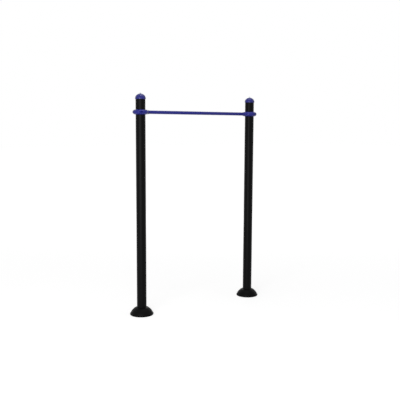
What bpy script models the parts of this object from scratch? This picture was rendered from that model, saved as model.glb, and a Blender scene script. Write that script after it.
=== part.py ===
"""Outdoor pull-up station: two tube posts, two clamp collars and the bar that hangs between them.

Metres, +Z up. The origin is on the ground, midway between the posts, and the bar runs along X.
"""
import math

import bmesh
import bpy
from mathutils import Matrix, Vector

# Fits between pieces
TOUCH_GAP = 0.0003
CUT_OVERRUN = 0.004

# Posts
POST_SPACING = 1.600
POST_DIAMETER = 0.114
POST_WALL = 0.003
POST_ABOVE_BAR = 0.155

# Base flange, with its anchor holes for the site's bolts
FLANGE_REACH = 0.068
FLANGE_THICKNESS = 0.012
FLANGE_CHAMFER = 0.0015
DRAIN_DIAMETER = 0.050
ANCHOR_EDGE_MARGIN = 0.025
ANCHOR_HOLE_DIAMETER = 0.018
ANCHOR_COUNT = 4

# Gussets between post and flange
GUSSET_THICKNESS = 0.008
GUSSET_HEIGHT = 0.055
GUSSET_EDGE_MARGIN = 0.012
GUSSET_TOE = 0.010
WELD_SCALLOP = 0.012

# Foot cover, in two half shells
COVER_FLANGE_MARGIN = 0.0155
COVER_GUSSET_MARGIN = 0.022
COVER_LIP_HEIGHT = 0.015
COVER_LIP_STEP = 0.0055
COVER_LIP_ROUND = 0.002
COVER_FOOT_ROUND = 0.006
COVER_FOOT_LAND = 0.003
COVER_WALL = 0.003
COVER_FLANK_BULGE = 0.0050
COVER_SHOULDER_BULGE = 0.0035
COVER_SHOULDER_WIDTH = 0.039
COVER_SHOULDER_DROP = 0.018
COVER_NECK_CLEARANCE = 0.0005
COVER_NECK_LAND = 0.005
COVER_SEAM_GAP = 0.0003

# Lap tongue and screw at each seam of a foot cover
TONGUE_THICKNESS = 0.003
TONGUE_CLEARANCE = 0.0008
TONGUE_REACH = 0.016
TONGUE_ROOT = 0.010
TONGUE_FLANK_SHARES = (0.22, 0.78)
COVER_SCREW_DIAMETER = 0.005
COVER_SCREW_LENGTH = 0.009
COVER_SCREW_HEAD_DIAMETER = 0.009
COVER_SCREW_HEAD_HEIGHT = 0.0025
COVER_SCREW_KEY = 0.003
COVER_SCREW_SINK = 0.0012
COVER_SCREW_CLEARANCE = 0.0005

# Pull-up bar, with a threaded plug in each end
BAR_HEIGHT = 2.405
BAR_DIAMETER = 0.040
BAR_WALL = 0.003
PLUG_LENGTH = 0.028

# Clamp collars
COLLAR_PROJECTION = 0.0362
COLLAR_BAR_MARGIN = 0.009
COLLAR_SPLIT = 0.001
BAR_SOCKET_WEB = 0.009
NECK_REACH = 0.014
NECK_WALL = 0.0025
NECK_ROOT_WALL = 0.004
NECK_SINK = 0.004
NECK_ROUND = 0.001

# Collar clamp screws, which thread into the half that carries the bar
CLAMP_SCREW_DIAMETER = 0.010
CLAMP_SCREW_LENGTH = 0.035
CLAMP_HEAD_DIAMETER = 0.016
CLAMP_HEAD_HEIGHT = 0.010
CLAMP_SCREW_KEY = 0.008
CLAMP_SCREW_REACH = 0.025
CLAMP_SEAT_DEPTH = 0.012
CLAMP_HOLE_CLEARANCE = 0.0005
CLAMP_HEAD_CLEARANCE = 0.001
CLAMP_TAP_RUNOUT = 0.002

# Bar bolts, hidden between the post and the bar half of each collar
BAR_BOLT_DIAMETER = 0.012
BAR_BOLT_LENGTH = 0.035
BAR_BOLT_HEAD_DIAMETER = 0.018
BAR_BOLT_HEAD_HEIGHT = 0.008
BAR_BOLT_KEY = 0.008
BAR_BOLT_HEAD_CLEARANCE = 0.001

# Post caps
CAP_OVERHANG = 0.0053
CAP_SKIRT_DROP = 0.007
CAP_SKIRT_RISE = 0.003
CAP_RIM_ROUND = 0.002
CAP_DOME_HEIGHT = 0.054
CAP_WALL = 0.004
CAP_SKIRT_CLEARANCE = 0.0006
CAP_SPIGOT_CLEARANCE = 0.0006
CAP_SPIGOT_WALL = 0.003
CAP_SPIGOT_LENGTH = 0.025
CAP_SEAT_MARGIN = 0.002

# What holds a cap down
STUD_DIAMETER = 0.010
STUD_TAIL = 0.012
BRIDGE_DROP = 0.065
BRIDGE_WIDTH = 0.030
BRIDGE_THICKNESS = 0.008
WASHER_DIAMETER = 0.020
WASHER_THICKNESS = 0.0016
CAP_NUT_WALL = 0.0035
CAP_NUT_HEX_HEIGHT = 0.006
CAP_NUT_SHOULDER = 0.0009
CAP_NUT_DOME_RISE = 0.0075
CAP_NUT_BORE_SHARE = 0.6

# Smoothness of round shapes, as counts
POST_STEPS = 48
FLANGE_STEPS = 32
COVER_STEPS = 16
TONGUE_STEPS = 2
CAP_STEPS = 28
COLLAR_STEPS = 48
BAR_STEPS = 24
BORE_STEPS = 12
SCREW_STEPS = 12
NUT_SIDES = 6
COLLAR_ARC_POINTS = 10
CAP_ARC_POINTS = 7
CAP_INNER_ARC_POINTS = 4
FLANK_ARC_POINTS = 4
SHOULDER_ARC_POINTS = 3
ROUND_ARC_POINTS = 2
FOOT_ARC_POINTS = 3
NUT_ARC_POINTS = 4
CHAMFER_SHARE = 0.1
MIDDLE_SHARE = 0.5
HEX_CORNER_SHARE = 2 / math.sqrt(3)
SHARP_ANGLE = math.radians(35)
SCREW_MERGE = 0.00001

# Sizes that follow from the ones above
POST_RADIUS = POST_DIAMETER / 2
POST_BORE_RADIUS = POST_RADIUS - POST_WALL
POST_FOOT = FLANGE_THICKNESS + TOUCH_GAP
POST_TOP = BAR_HEIGHT + POST_ABOVE_BAR
FLANGE_RADIUS = POST_RADIUS + FLANGE_REACH
ANCHOR_CIRCLE_RADIUS = FLANGE_RADIUS - ANCHOR_EDGE_MARGIN
COVER_RADIUS = FLANGE_RADIUS + COVER_FLANGE_MARGIN
COVER_HEIGHT = FLANGE_THICKNESS + GUSSET_HEIGHT + COVER_GUSSET_MARGIN
COVER_NECK_RADIUS = POST_RADIUS + COVER_NECK_CLEARANCE
COVER_FLANK_FOOT = Vector((COVER_RADIUS - COVER_LIP_STEP, COVER_LIP_HEIGHT + COVER_LIP_ROUND))
COVER_FLANK_TOP = Vector((COVER_NECK_RADIUS + COVER_SHOULDER_WIDTH, COVER_HEIGHT - COVER_SHOULDER_DROP))
COLLAR_BORE_RADIUS = POST_RADIUS + TOUCH_GAP
COLLAR_RADIUS = COLLAR_BORE_RADIUS + COLLAR_PROJECTION
NECK_END = COLLAR_RADIUS + NECK_REACH
COLLAR_HEIGHT = BAR_DIAMETER + 2 * COLLAR_BAR_MARGIN
CLAMP_SCREW_OFFSET = POST_RADIUS + CLAMP_SCREW_REACH
CLAMP_TAP_DEPTH = CLAMP_SCREW_LENGTH - CLAMP_SEAT_DEPTH + CLAMP_TAP_RUNOUT
BAR_RADIUS = BAR_DIAMETER / 2
BAR_BOLT_SEAT = COLLAR_BORE_RADIUS + BAR_BOLT_HEAD_HEIGHT + BAR_BOLT_HEAD_CLEARANCE
BAR_SOCKET_FLOOR = BAR_BOLT_SEAT + BAR_SOCKET_WEB
BAR_END = POST_SPACING / 2 - BAR_SOCKET_FLOOR - TOUCH_GAP
CAP_RADIUS = POST_RADIUS + CAP_OVERHANG
CAP_SPRING = POST_TOP + CAP_SKIRT_RISE
CAP_SEAT_ANGLE = math.acos((WASHER_DIAMETER / 2 + CAP_SEAT_MARGIN) / CAP_RADIUS)
CAP_SEAT = CAP_SPRING + CAP_DOME_HEIGHT * math.sin(CAP_SEAT_ANGLE)
CAP_NUT_WIDTH = STUD_DIAMETER + 2 * CAP_NUT_WALL
CAP_NUT_BORE_DEPTH = CAP_NUT_HEX_HEIGHT + CAP_NUT_BORE_SHARE * CAP_NUT_DOME_RISE
BRIDGE_TOP = POST_TOP - BRIDGE_DROP

# Colours, sRGB
POWDER_BLACK = "1E1E1F"
POWDER_BLUE = "3B3F93"
COVER_BLACK = "161617"
BLACK_ZINC = "1C1D1F"
ZINC = "B4B8BC"
STAINLESS = "C6CAD0"


def clear_scene():
    for obj in list(bpy.data.objects):
        bpy.data.objects.remove(obj)


def new_collection(name):
    collection = bpy.data.collections.new(name)
    bpy.context.scene.collection.children.link(collection)
    return collection


def linear(hex_colour):
    """sRGB hex to linear RGBA."""
    values = [int(hex_colour[i:i + 2], 16) / 255 for i in (0, 2, 4)]
    return [v / 12.92 if v <= 0.04045 else ((v + 0.055) / 1.055) ** 2.4 for v in values] + [1.0]


def material(name, hex_colour, roughness, metallic=0.0):
    made = bpy.data.materials.new(name)
    made.use_nodes = True
    shader = made.node_tree.nodes["Principled BSDF"]
    shader.inputs["Base Color"].default_value = linear(hex_colour)
    shader.inputs["Roughness"].default_value = roughness
    shader.inputs["Metallic"].default_value = metallic
    return made


def frame_at(name, location, turn=0.0):
    """An empty that places a group of pieces."""
    empty = bpy.data.objects.new(name, None)
    empty.location = location
    empty.rotation_euler = (0, 0, turn)
    parts.objects.link(empty)
    return empty


def place(obj, parent, location=(0, 0, 0), rotation=(0, 0, 0)):
    obj.parent = parent
    obj.location = location
    obj.rotation_euler = rotation
    return obj


def shade(obj):
    """Smooth shading in which the large faces lead, so that flats stay flat up to the edge of a hole."""
    obj.data.shade_smooth()
    obj.data.set_sharp_from_angle(angle=SHARP_ANGLE)
    normals = obj.modifiers.new("normals", "WEIGHTED_NORMAL")
    normals.keep_sharp = True


def mesh_object(name, shape, collection):
    """Turns a bmesh into an object in the given collection."""
    mesh = bpy.data.meshes.new(name)
    shape.to_mesh(mesh)
    shape.free()
    obj = bpy.data.objects.new(name, mesh)
    collection.objects.link(obj)
    return obj


def turned(name, profile, steps, collection=None, closed=False, sweep=math.tau):
    """Revolves a profile of (radius, height) points, which run down the outer side, about Z."""
    shape = bmesh.new()
    verts = [shape.verts.new((radius, 0, height)) for radius, height in profile]
    ends = verts[1:] + verts[:1] if closed else verts[1:]
    for start, end in zip(verts, ends):
        shape.edges.new((start, end))
    obj = mesh_object(name, shape, collection or parts)
    screw = obj.modifiers.new("turn", "SCREW")
    screw.angle = sweep
    screw.steps = steps
    screw.render_steps = steps
    screw.use_merge_vertices = True
    screw.merge_threshold = SCREW_MERGE
    screw.use_smooth_shade = True
    return obj


def rod(name, radius, bottom, top, steps, collection=None):
    """A plain solid cylinder about Z."""
    profile = [(0, top), (radius, top), (radius, bottom), (0, bottom)]
    return turned(name, profile, steps, collection)


def stepped_drill(name, sections, steps):
    """A cutter about Z of cylinders end to end: sections are (radius, bottom, top), from the top down."""
    profile = [(0, sections[0][2])]
    for radius, bottom, top in sections:
        profile += [(radius, top), (radius, bottom)]
    profile.append((0, sections[-1][1]))
    return turned(name, profile, steps, cutters)


def ring(name, outer, inner, bottom, top, steps, collection=None):
    """A plain tube or washer about Z."""
    profile = [(outer, top), (outer, bottom), (inner, bottom), (inner, top)]
    return turned(name, profile, steps, collection, closed=True)


def block(name, low, high, collection):
    """A box between two corners."""
    shape = bmesh.new()
    bmesh.ops.create_cube(shape, size=1.0)
    size = Vector(high) - Vector(low)
    centre = (Vector(high) + Vector(low)) / 2
    fit = Matrix.Translation(centre) @ Matrix.Diagonal(size).to_4x4()
    bmesh.ops.transform(shape, matrix=fit, verts=shape.verts)
    return mesh_object(name, shape, collection)


def hex_prism(name, width_across_flats, bottom, top, collection):
    """A hexagonal prism about Z with two flats facing +Y and -Y."""
    shape = bmesh.new()
    corner = width_across_flats / 2 * HEX_CORNER_SHARE
    bmesh.ops.create_cone(shape, cap_ends=True, segments=NUT_SIDES, radius1=corner, radius2=corner,
                          depth=top - bottom)
    # create_cone puts its first corner on +Y, so half a side turns a flat there
    turn = Matrix.Rotation(math.pi / NUT_SIDES, 4, "Z")
    lift = Matrix.Translation((0, 0, (top + bottom) / 2))
    bmesh.ops.transform(shape, matrix=lift @ turn, verts=shape.verts)
    return mesh_object(name, shape, collection)


def combine(obj, tool, operation):
    """Cuts, joins or intersects obj with a tool object, which stays as a guide in the cutters' collection."""
    tool.display_type = "WIRE"
    tool.hide_render = True
    boolean = obj.modifiers.new(operation.lower() + " " + tool.name, "BOOLEAN")
    boolean.operation = operation
    boolean.object = tool
    boolean.solver = "EXACT"


def arc_between(start, end, bulge, count):
    """Points of a circular arc from start to end that stands proud of its chord by bulge on its left side."""
    start, end = Vector(start), Vector(end)
    chord = end - start
    left = Vector((-chord.y, chord.x)).normalized()
    half = chord.length / 2
    radius = (half ** 2 + bulge ** 2) / (2 * bulge)
    centre = (start + end) / 2 - left * (radius - bulge)
    half_angle = math.asin(half / radius)
    points = []
    for i in range(count):
        angle = half_angle - 2 * half_angle * i / (count - 1)
        along = chord.normalized()
        points.append(centre + radius * (math.cos(angle) * left - math.sin(angle) * along))
    return points


def quarter_round(centre, radius_across, radius_up, start_angle, end_angle, count):
    """Points of an elliptical arc about centre, from start_angle to end_angle."""
    points = []
    for i in range(count):
        angle = start_angle + (end_angle - start_angle) * i / (count - 1)
        across, up = radius_across * math.cos(angle), radius_up * math.sin(angle)
        points.append(Vector((centre[0] + across, centre[1] + up)))
    return points


def stretch_of(points, first, last):
    """The stretch of a polyline between two shares of its length."""
    lengths = [(end - start).length for start, end in zip(points, points[1:])]
    low, high = first * sum(lengths), last * sum(lengths)
    stretch = []
    done = 0.0
    for start, end, length in zip(points, points[1:], lengths):
        if done <= low < done + length:
            stretch.append(start.lerp(end, (low - done) / length))
        if low < done + length < high:
            stretch.append(end)
        if done < high <= done + length:
            stretch.append(start.lerp(end, (high - done) / length))
        done += length
    return stretch


def offset_inward(profile, distance):
    """Moves an open profile that runs down its outer side inward by a distance."""
    moved = []
    for i, point in enumerate(profile):
        before = profile[max(i - 1, 0)]
        after = profile[min(i + 1, len(profile) - 1)]
        along = (after - before).normalized()
        moved.append(point + distance * Vector((along.y, -along.x)))
    return moved


def socket_screw(name, finish, screw):
    """A socket-head screw along Z: its head stands up from z = 0, and its shank goes down."""
    head_radius = screw["head_diameter"] / 2
    shank_radius = screw["diameter"] / 2
    edge = screw["head_height"] * CHAMFER_SHARE
    profile = [
        (0, screw["head_height"]),
        (head_radius - edge, screw["head_height"]),
        (head_radius, screw["head_height"] - edge),
        (head_radius, 0),
        (shank_radius, 0),
        (shank_radius, -screw["length"]),
        (0, -screw["length"]),
    ]
    obj = turned(name, profile, SCREW_STEPS)
    key = hex_prism(name + "_key_cutter", screw["key"], screw["head_height"] / 2,
                    screw["head_height"] + CUT_OVERRUN, cutters)
    key.parent = obj
    combine(obj, key, "DIFFERENCE")
    obj.data.materials.append(finish)
    return obj


CLAMP_SCREW = {
    "diameter": CLAMP_SCREW_DIAMETER,
    "length": CLAMP_SCREW_LENGTH,
    "head_diameter": CLAMP_HEAD_DIAMETER,
    "head_height": CLAMP_HEAD_HEIGHT,
    "key": CLAMP_SCREW_KEY,
}
BAR_BOLT = {
    "diameter": BAR_BOLT_DIAMETER,
    "length": BAR_BOLT_LENGTH,
    "head_diameter": BAR_BOLT_HEAD_DIAMETER,
    "head_height": BAR_BOLT_HEAD_HEIGHT,
    "key": BAR_BOLT_KEY,
}
COVER_SCREW = {
    "diameter": COVER_SCREW_DIAMETER,
    "length": COVER_SCREW_LENGTH,
    "head_diameter": COVER_SCREW_HEAD_DIAMETER,
    "head_height": COVER_SCREW_HEAD_HEIGHT,
    "key": COVER_SCREW_KEY,
}


# Post and base


def make_post(side, foot):
    post = ring(side + "_post_tube", POST_RADIUS, POST_BORE_RADIUS, POST_FOOT, POST_TOP, POST_STEPS)
    post.data.materials.append(post_paint)
    place(post, foot)


def make_flange(side, foot):
    """A chamfered disc with a drain hole at its centre and the anchor holes round it."""
    top = FLANGE_THICKNESS
    profile = [
        (FLANGE_RADIUS - FLANGE_CHAMFER, top),
        (FLANGE_RADIUS, top - FLANGE_CHAMFER),
        (FLANGE_RADIUS, 0),
        (DRAIN_DIAMETER / 2, 0),
        (DRAIN_DIAMETER / 2, top),
    ]
    flange = turned(side + "_base_flange", profile, FLANGE_STEPS, closed=True)
    for i in range(ANCHOR_COUNT):
        azimuth = math.tau * (i + 0.5) / ANCHOR_COUNT
        hole = rod(f"{side}_anchor_cutter_{i + 1}", ANCHOR_HOLE_DIAMETER / 2, -CUT_OVERRUN, top + CUT_OVERRUN,
                   BORE_STEPS, cutters)
        centre = (ANCHOR_CIRCLE_RADIUS * math.cos(azimuth), ANCHOR_CIRCLE_RADIUS * math.sin(azimuth), 0)
        place(hole, foot, centre)
        combine(flange, hole, "DIFFERENCE")
    flange.data.materials.append(galvanised)
    place(flange, foot)


def make_gussets(side, foot):
    """Triangular plates between the anchor holes, each with a scallop that clears the post's weld."""
    inner = POST_RADIUS + TOUCH_GAP
    outer = FLANGE_RADIUS - GUSSET_EDGE_MARGIN
    floor = FLANGE_THICKNESS + TOUCH_GAP
    top = FLANGE_THICKNESS + GUSSET_HEIGHT
    outline = [
        (inner + WELD_SCALLOP, floor),
        (outer, floor),
        (outer, floor + GUSSET_TOE),
        (inner + GUSSET_TOE, top),
        (inner, top),
        (inner, floor + WELD_SCALLOP),
    ]
    for i in range(ANCHOR_COUNT):
        curve = bpy.data.curves.new(f"{side}_gusset_{i + 1}", "CURVE")
        curve.dimensions = "2D"
        curve.fill_mode = "BOTH"
        curve.extrude = GUSSET_THICKNESS / 2
        spline = curve.splines.new("POLY")
        spline.points.add(len(outline) - 1)
        for point, (x, y) in zip(spline.points, outline):
            point.co = (x, y, 0, 1)
        spline.use_cyclic_u = True
        gusset = bpy.data.objects.new(curve.name, curve)
        parts.objects.link(gusset)
        curve.materials.append(galvanised)
        place(gusset, foot, rotation=(math.pi / 2, 0, math.tau * i / ANCHOR_COUNT))


# Foot cover


def cover_profile():
    """The cover's outer side: neck land, shoulder, flank, lip and a foot turned in on the ground."""
    neck = Vector((COVER_NECK_RADIUS, COVER_HEIGHT))
    land = Vector((COVER_NECK_RADIUS + COVER_NECK_LAND, COVER_HEIGHT))
    shoulder = arc_between(land, COVER_FLANK_TOP, COVER_SHOULDER_BULGE, SHOULDER_ARC_POINTS)
    lip = [
        Vector((COVER_RADIUS - COVER_LIP_ROUND, COVER_LIP_HEIGHT)),
        Vector((COVER_RADIUS, COVER_LIP_HEIGHT - COVER_LIP_ROUND)),
    ]
    foot_centre = (COVER_RADIUS - COVER_FOOT_ROUND, COVER_FOOT_ROUND)
    foot = quarter_round(foot_centre, COVER_FOOT_ROUND, COVER_FOOT_ROUND, 0, -math.pi / 2, FOOT_ARC_POINTS)
    foot.append(Vector((COVER_RADIUS - COVER_FOOT_ROUND - COVER_FOOT_LAND, 0)))
    return [neck] + shoulder + flank_points(FLANK_ARC_POINTS)[1:] + lip + foot


def flank_points(count):
    """The main slope of the cover, from its shoulder down to its lip."""
    return arc_between(COVER_FLANK_TOP, COVER_FLANK_FOOT, COVER_FLANK_BULGE, count)


def shell_sector(name, profile, start, sweep, thickness, steps, collection):
    """A part-turned shell whose outer face is the profile."""
    obj = turned(name, profile, steps, collection, sweep=sweep)
    wall = obj.modifiers.new("wall", "SOLIDIFY")
    wall.thickness = thickness
    wall.offset = -1
    wall.use_even_offset = True
    obj.rotation_euler = (0, 0, start)
    return obj


def make_cover(side, foot):
    """Two half shells. The front one has a lap tongue at each seam, screwed through the rear one."""
    seam = COVER_SEAM_GAP / 2 / COVER_NECK_RADIUS
    halves = {}
    for half, start in (("rear", 0), ("front", math.pi)):
        halves[half] = shell_sector(f"{side}_cover_{half}", cover_profile(), start + seam, math.pi - 2 * seam,
                                    COVER_WALL, COVER_STEPS, parts)
        halves[half].data.materials.append(cover_black)
        halves[half].parent = foot
    lap = stretch_of(flank_points(FLANK_ARC_POINTS), *TONGUE_FLANK_SHARES)
    middle = stretch_of(lap, 0, MIDDLE_SHARE)[-1]
    chord = (lap[-1] - lap[0]).normalized()
    normal = Vector((-chord.y, chord.x))
    reach = TONGUE_REACH / middle.x
    root = TONGUE_ROOT / middle.x
    for sign, end, azimuth in ((1, "right", 0.0), (-1, "left", math.pi)):
        name = f"{side}_cover_{end}"
        # The front half lies before the seam at azimuth 0 and after the one at azimuth 180
        start = -root if sign > 0 else -reach
        face = offset_inward(lap, COVER_WALL + TONGUE_CLEARANCE)
        tongue = shell_sector(name + "_tongue", face, azimuth + start, root + reach, TONGUE_THICKNESS,
                              TONGUE_STEPS, cutters)
        start = -root if sign > 0 else seam
        web = COVER_WALL / 2 + TONGUE_CLEARANCE + TONGUE_THICKNESS / 2
        joint = shell_sector(name + "_tongue_root", offset_inward(lap, COVER_WALL / 2), azimuth + start,
                             root - seam, web, TONGUE_STEPS, cutters)
        for tool in (joint, tongue):
            tool.parent = foot
            combine(halves["front"], tool, "UNION")
        turn = azimuth + sign * reach / 2
        outward = Vector((normal.x * math.cos(turn), normal.x * math.sin(turn), normal.y))
        surface = Vector((middle.x * math.cos(turn), middle.x * math.sin(turn), middle.y))
        seat = surface - COVER_SCREW_SINK * outward
        rotation = outward.to_track_quat("Z", "X").to_euler()
        drill = stepped_drill(name + "_screw_drill", [
            (COVER_SCREW_HEAD_DIAMETER / 2 + COVER_SCREW_CLEARANCE, 0, COVER_SCREW_HEAD_HEIGHT + CUT_OVERRUN),
            (COVER_SCREW_DIAMETER / 2 + TOUCH_GAP, -COVER_SCREW_LENGTH - CUT_OVERRUN, 0),
        ], SCREW_STEPS)
        place(drill, foot, seat, rotation)
        for half in halves.values():
            combine(half, drill, "DIFFERENCE")
        screw = socket_screw(name + "_screw", black_zinc, COVER_SCREW)
        place(screw, foot, seat + TOUCH_GAP * outward, rotation)


# Collar


def collar_blank(name):
    """The full ring: a straight bore with a bullnose outer face, half an ellipse in section."""
    half = COLLAR_HEIGHT / 2
    profile = quarter_round((COLLAR_BORE_RADIUS, 0), COLLAR_PROJECTION, half, math.pi / 2, -math.pi / 2,
                            COLLAR_ARC_POINTS)
    blank = turned(name, profile, COLLAR_STEPS, closed=True)
    blank.data.materials.append(bar_paint)
    return blank


def along_x(tool, collar, y=0.0):
    """Turns a tool that was made along Z so that it points along +X, at the given y."""
    return place(tool, collar, (0, y, 0), (0, math.pi / 2, 0))


def make_neck(side, collar):
    """The tapered neck that carries the bar's socket out of the ring, as a tool to join to the inner half."""
    end = BAR_RADIUS + NECK_WALL
    root = BAR_RADIUS + NECK_ROOT_WALL
    profile = [
        (0, NECK_END),
        (end - NECK_ROUND, NECK_END),
        (end, NECK_END - NECK_ROUND),
        (root, COLLAR_RADIUS - NECK_SINK),
        (root, BAR_SOCKET_FLOOR),
        (0, BAR_SOCKET_FLOOR),
    ]
    return along_x(turned(side + "_collar_neck", profile, BAR_STEPS, cutters), collar)


def make_collar(side, collar):
    """Two clamp halves: counterbores in the outer one, threads and the bar's socket in the inner one."""
    reach = NECK_END + CUT_OVERRUN
    split = COLLAR_SPLIT / 2
    halves = {}
    for half, low_x, high_x in (("outer", -split, reach), ("inner", -reach, split)):
        piece = place(collar_blank(f"{side}_collar_{half}_half"), collar)
        cutter = block(f"{side}_collar_{half}_split_cutter", (low_x, -reach, -COLLAR_HEIGHT),
                       (high_x, reach, COLLAR_HEIGHT), cutters)
        combine(piece, place(cutter, collar), "DIFFERENCE")
        halves[half] = piece
    combine(halves["inner"], make_neck(side, collar), "UNION")
    facing = math.cos(collar.rotation_euler.z)
    for sign in (-1, 1):
        end = "front" if sign * facing < 0 else "rear"
        name = f"{side}_collar_{end}"
        y = sign * CLAMP_SCREW_OFFSET
        drill = stepped_drill(name + "_clamp_drill", [
            (CLAMP_SCREW_DIAMETER / 2 + CLAMP_HOLE_CLEARANCE, -CLAMP_SEAT_DEPTH, reach),
            (CLAMP_HEAD_DIAMETER / 2 + CLAMP_HEAD_CLEARANCE, -reach, -CLAMP_SEAT_DEPTH),
        ], BORE_STEPS)
        tap = rod(name + "_tap_drill", CLAMP_SCREW_DIAMETER / 2 + TOUCH_GAP, -CUT_OVERRUN, CLAMP_TAP_DEPTH,
                  BORE_STEPS, cutters)
        combine(halves["outer"], along_x(drill, collar, y), "DIFFERENCE")
        combine(halves["inner"], along_x(tap, collar, y), "DIFFERENCE")
        screw = socket_screw(name + "_clamp_screw", bright_zinc, CLAMP_SCREW)
        # The screw's own axis points out of its head, so it is turned to -X
        place(screw, collar, (-CLAMP_SEAT_DEPTH - TOUCH_GAP, y, 0), (0, -math.pi / 2, 0))

    drill = stepped_drill(side + "_bar_seat_drill", [
        (BAR_RADIUS + TOUCH_GAP, BAR_SOCKET_FLOOR, reach),
        (BAR_BOLT_DIAMETER / 2 + TOUCH_GAP, BAR_BOLT_SEAT, BAR_SOCKET_FLOOR),
        (BAR_BOLT_HEAD_DIAMETER / 2 + BAR_BOLT_HEAD_CLEARANCE, POST_RADIUS - CUT_OVERRUN, BAR_BOLT_SEAT),
    ], BAR_STEPS)
    combine(halves["inner"], along_x(drill, collar), "DIFFERENCE")
    bolt = socket_screw(f"{side}_bar_bolt", bright_zinc, BAR_BOLT)
    place(bolt, collar, (BAR_BOLT_SEAT - TOUCH_GAP, 0, 0), (0, -math.pi / 2, 0))
    plug = ring(f"{side}_bar_end_plug", BAR_RADIUS - BAR_WALL - TOUCH_GAP, BAR_BOLT_DIAMETER / 2 + TOUCH_GAP,
                BAR_SOCKET_FLOOR + TOUCH_GAP, BAR_SOCKET_FLOOR + PLUG_LENGTH, BORE_STEPS)
    plug.data.materials.append(galvanised)
    along_x(plug, collar)


# Bar


def make_bar():
    bar = ring("pull_up_bar", BAR_RADIUS, BAR_RADIUS - BAR_WALL, -BAR_END, BAR_END, BAR_STEPS)
    bar.data.materials.append(bar_paint)
    bar.location = (0, 0, BAR_HEIGHT)
    bar.rotation_euler = (0, math.pi / 2, 0)


# Cap


def cap_profile():
    """The cap's section: nut seat, dome, skirt over the post, ledge on its rim and spigot inside it."""
    hole = STUD_DIAMETER / 2 + TOUCH_GAP
    skirt = POST_RADIUS + CAP_SKIRT_CLEARANCE
    spigot = POST_BORE_RADIUS - CAP_SPIGOT_CLEARANCE
    bore = spigot - CAP_SPIGOT_WALL
    ledge = POST_TOP + TOUCH_GAP
    skirt_foot = POST_TOP - CAP_SKIRT_DROP
    spigot_foot = POST_TOP - CAP_SPIGOT_LENGTH
    dome = quarter_round((0, CAP_SPRING), CAP_RADIUS, CAP_DOME_HEIGHT, CAP_SEAT_ANGLE, 0, CAP_ARC_POINTS)
    rim_centre = (CAP_RADIUS - CAP_RIM_ROUND, skirt_foot + CAP_RIM_ROUND)
    rim = quarter_round(rim_centre, CAP_RIM_ROUND, CAP_RIM_ROUND, 0, -math.pi / 2, ROUND_ARC_POINTS)
    inner_height = CAP_SEAT - CAP_WALL - CAP_SPRING
    hole_angle = math.acos(hole / bore)
    inner = quarter_round((0, CAP_SPRING), bore, inner_height, 0, hole_angle, CAP_INNER_ARC_POINTS)
    return ([Vector((hole, CAP_SEAT))] + dome + rim
            + [Vector((skirt, skirt_foot)), Vector((skirt, ledge)), Vector((spigot, ledge)),
               Vector((spigot, spigot_foot)), Vector((bore, spigot_foot))]
            + inner)


def make_cap(side, foot):
    cap = turned(side + "_post_cap", cap_profile(), CAP_STEPS, closed=True)
    cap.data.materials.append(cap_paint)
    place(cap, foot)

    washer_foot = CAP_SEAT + TOUCH_GAP
    washer = ring(side + "_cap_washer", WASHER_DIAMETER / 2, STUD_DIAMETER / 2 + TOUCH_GAP, washer_foot,
                  washer_foot + WASHER_THICKNESS, BORE_STEPS)
    washer.data.materials.append(stainless)
    place(washer, foot)

    nut_foot = washer_foot + WASHER_THICKNESS + TOUCH_GAP
    place(make_cap_nut(side), foot, (0, 0, nut_foot))

    stud_foot = BRIDGE_TOP - BRIDGE_THICKNESS - STUD_TAIL
    stud_top = nut_foot + CAP_NUT_BORE_DEPTH - TOUCH_GAP
    stud = rod(side + "_cap_stud", STUD_DIAMETER / 2, stud_foot, stud_top, SCREW_STEPS)
    stud.data.materials.append(bright_zinc)
    place(stud, foot)

    bridge = block(side + "_cap_bridge", (-POST_RADIUS, -BRIDGE_WIDTH / 2, BRIDGE_TOP - BRIDGE_THICKNESS),
                   (POST_RADIUS, BRIDGE_WIDTH / 2, BRIDGE_TOP), parts)
    under, over = BRIDGE_TOP - BRIDGE_THICKNESS - CUT_OVERRUN, BRIDGE_TOP + CUT_OVERRUN
    trim = rod(side + "_cap_bridge_trim", POST_BORE_RADIUS - TOUCH_GAP, under, over, POST_STEPS, cutters)
    thread = rod(side + "_cap_bridge_hole_cutter", STUD_DIAMETER / 2 + TOUCH_GAP, under, over, SCREW_STEPS,
                 cutters)
    for tool, operation in ((trim, "INTERSECT"), (thread, "DIFFERENCE")):
        combine(bridge, place(tool, foot), operation)
    bridge.data.materials.append(galvanised)
    place(bridge, foot)


def make_cap_nut(side):
    """An acorn nut: a short hexagon with a dome on it and a blind bore."""
    nut = hex_prism(side + "_cap_nut", CAP_NUT_WIDTH, 0, CAP_NUT_HEX_HEIGHT, parts)
    radius = CAP_NUT_WIDTH / 2 - CAP_NUT_SHOULDER
    dome_profile = quarter_round((0, CAP_NUT_HEX_HEIGHT), radius, CAP_NUT_DOME_RISE, math.pi / 2, 0,
                                 NUT_ARC_POINTS)
    dome_profile += [Vector((radius, CAP_NUT_HEX_HEIGHT / 2)), Vector((0, CAP_NUT_HEX_HEIGHT / 2))]
    dome_profile[0].x = 0
    dome = turned(side + "_cap_nut_dome", dome_profile, BORE_STEPS, cutters)
    bore = rod(side + "_cap_nut_bore_cutter", STUD_DIAMETER / 2 + TOUCH_GAP, -CUT_OVERRUN, CAP_NUT_BORE_DEPTH,
               SCREW_STEPS, cutters)
    for tool, operation in ((dome, "UNION"), (bore, "DIFFERENCE")):
        tool.parent = nut
        combine(nut, tool, operation)
    nut.data.materials.append(stainless)
    return nut


# The whole station


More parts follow.
